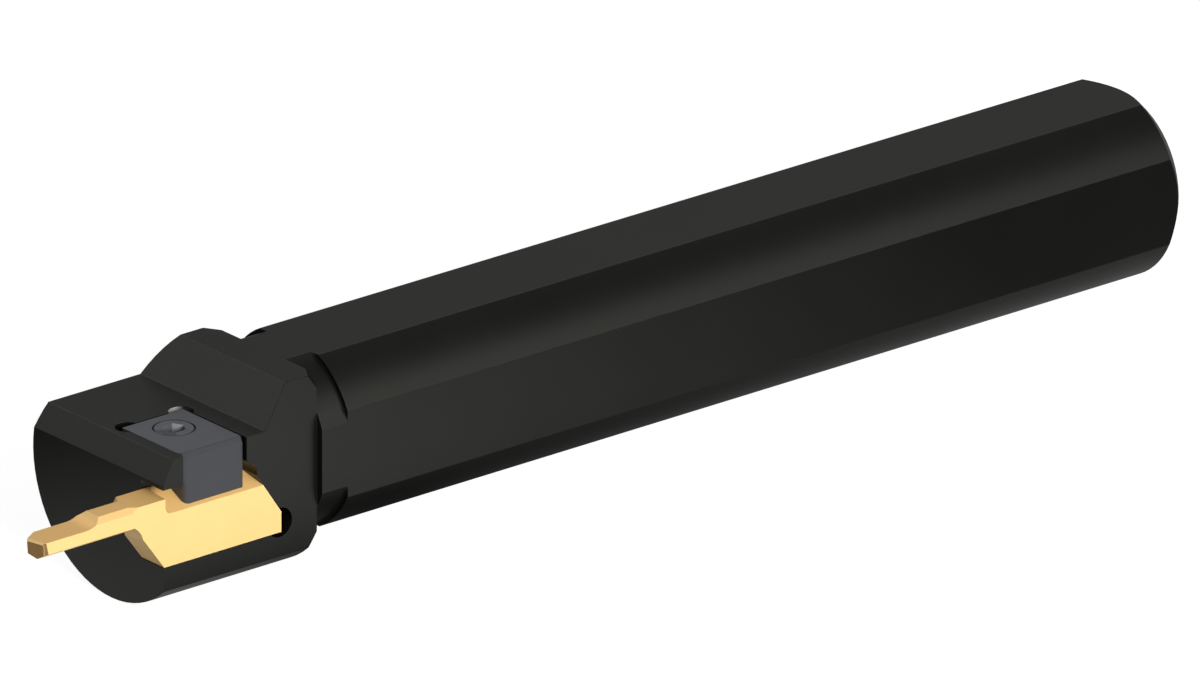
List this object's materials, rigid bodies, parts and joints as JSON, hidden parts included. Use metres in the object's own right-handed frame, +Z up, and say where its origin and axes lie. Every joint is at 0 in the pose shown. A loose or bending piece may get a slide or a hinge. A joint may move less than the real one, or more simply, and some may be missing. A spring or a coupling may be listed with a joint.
{
  "type": "boring bar",
  "caption": "Round-shank boring bar with milled flats, a milled head and a long grooving insert held by a screwed top clamp.",
  "frame": {"origin": "centre of the rear end face of the shank, on the axis of the bar", "axes": "+X along the axis towards the rear end, so the bar lies along -X and cuts at its -X end; -Y is the side with the insert; +Z is up, the side of the clamp and its screw"},
  "size_m": [0.2279, 0.0335, 0.0335],
  "materials": {
    "bar_body": "hardened alloy steel, black oxide, satin",
    "cutting_insert": "ground carbide with a gold titanium nitride coating, satin",
    "top_clamp": "hardened steel, grey, satin",
    "clamp_screw": "hardened steel, grey, satin",
    "retaining_ring": "spring steel, dark"
  },
  "bodies": {
    "bar": {"bar_body": "bar_body", "cutting_insert": "cutting_insert"},
    "clamp": {"top_clamp": "top_clamp"},
    "screw": {"clamp_screw": "clamp_screw", "retaining_ring": "retaining_ring"}
  },
  "joints": [
    {"name": "clamp_lift", "type": "slide", "parent": "bar", "child": "clamp", "axis": [0, 0, 1], "range_m": [0, 0.0021]},
    {"name": "screw_turn", "type": "hinge", "parent": "clamp", "child": "screw", "pos_m": [-0.1938, -0.0029, 0.005], "axis": [0, 0, 1], "range_deg": [0, 1080]}
  ],
  "couplings": [
    {"joint": "screw_turn", "follows": "clamp_lift", "rad_per_m": 8976}
  ]
}
